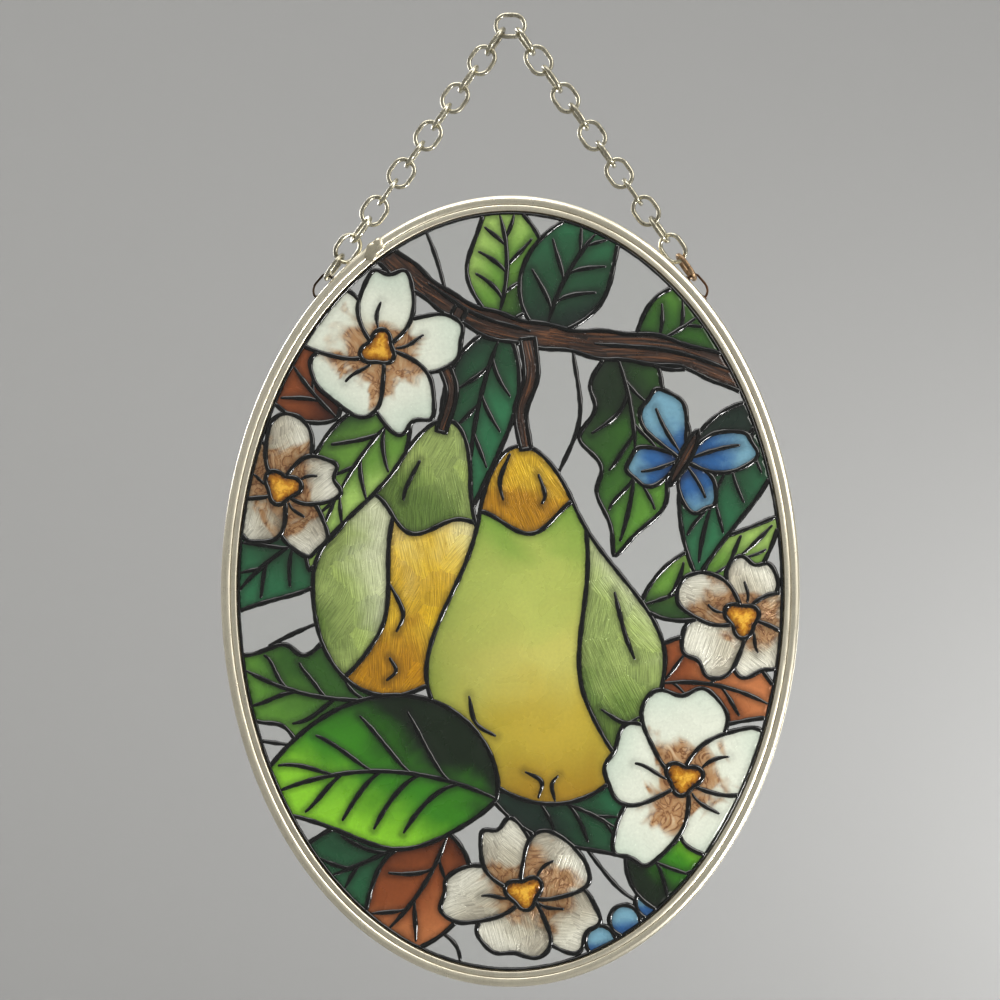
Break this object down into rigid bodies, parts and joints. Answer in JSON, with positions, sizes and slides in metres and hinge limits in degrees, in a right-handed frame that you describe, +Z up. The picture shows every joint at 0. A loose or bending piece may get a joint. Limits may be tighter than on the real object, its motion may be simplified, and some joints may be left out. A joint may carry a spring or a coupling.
{
  "type": "stained glass suncatcher",
  "caption": "Oval window hanging of clear glass painted with pears and blossom inside raised black lines, in a beaded metal rim with a hanging chain.",
  "frame": {"origin": "underside of the top bar of the middle chain link, where the hook that holds the part up bears", "axes": "+Z up the hanging height, +X to the right seen from the painted front, which faces -Y; the pane lies in the XZ plane"},
  "size_m": [0.1672, 0.0076, 0.282],
  "materials": {
    "came": "nickel-plated, warm, lightly scuffed",
    "chain": "nickel-plated, warm, brown tarnish in the recesses",
    "loop_wire": "dark oxidised wire",
    "clear_glass": "clear, polished",
    "black_line": "raised gloss black outline paint",
    "glass_paint": "translucent glass paint, glossy"
  },
  "bodies": {
    "root": {"frame": "came", "glass_pane": "clear_glass", "raised_outline": "black_line", "wire_loop_left": "loop_wire", "wire_loop_right": "loop_wire", "chain_link_01": "chain", "chain_link_02": "chain", "chain_link_03": "chain", "chain_link_04": "chain", "chain_link_05": "chain", "chain_link_06": "chain", "chain_link_07": "chain", "chain_link_08": "chain", "chain_link_09": "chain", "chain_link_10": "chain", "chain_link_11": "chain", "chain_link_12": "chain", "chain_link_13": "chain", "chain_link_14": "chain", "chain_link_15": "chain", "chain_link_16": "chain", "chain_link_17": "chain", "chain_link_18": "chain", "chain_link_19": "chain", "chain_link_20": "chain", "chain_link_21": "chain", "chain_link_22": "chain", "chain_link_23": "chain", "chain_link_24": "chain", "chain_link_25": "chain", "chain_link_26": "chain", "chain_link_27": "chain"}
  },
  "joints": []
}
